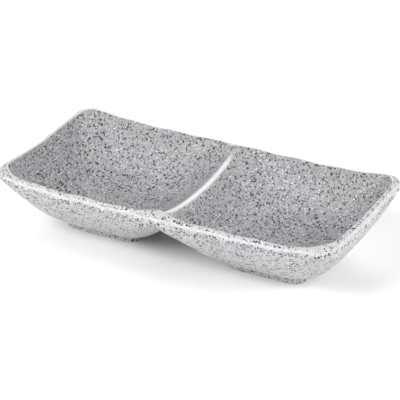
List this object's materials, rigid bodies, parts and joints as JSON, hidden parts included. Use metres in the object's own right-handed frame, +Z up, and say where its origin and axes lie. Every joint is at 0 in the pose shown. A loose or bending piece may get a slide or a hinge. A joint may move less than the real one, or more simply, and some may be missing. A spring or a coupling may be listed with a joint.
{
  "type": "chip and dip server",
  "caption": "Oblong speckled stoneware serving dish with side-by-side bowls parted by a low saddle divider, for chips and dip.",
  "frame": {"origin": "centre of the dish's footprint, on the table plane under the foot rings", "axes": "+X along the length from the left bowl to the right bowl, +Y across from front to back, +Z up"},
  "size_m": [0.25, 0.126, 0.0511],
  "materials": {
    "speckled_glaze": "satin grey glaze with black and white granite speckle, paler where it thins over the crest and the divider"
  },
  "bodies": {
    "root": {"left_bowl": "speckled_glaze", "divider": "speckled_glaze", "right_bowl": "speckled_glaze", "left_foot": "speckled_glaze", "right_foot": "speckled_glaze"}
  },
  "joints": []
}
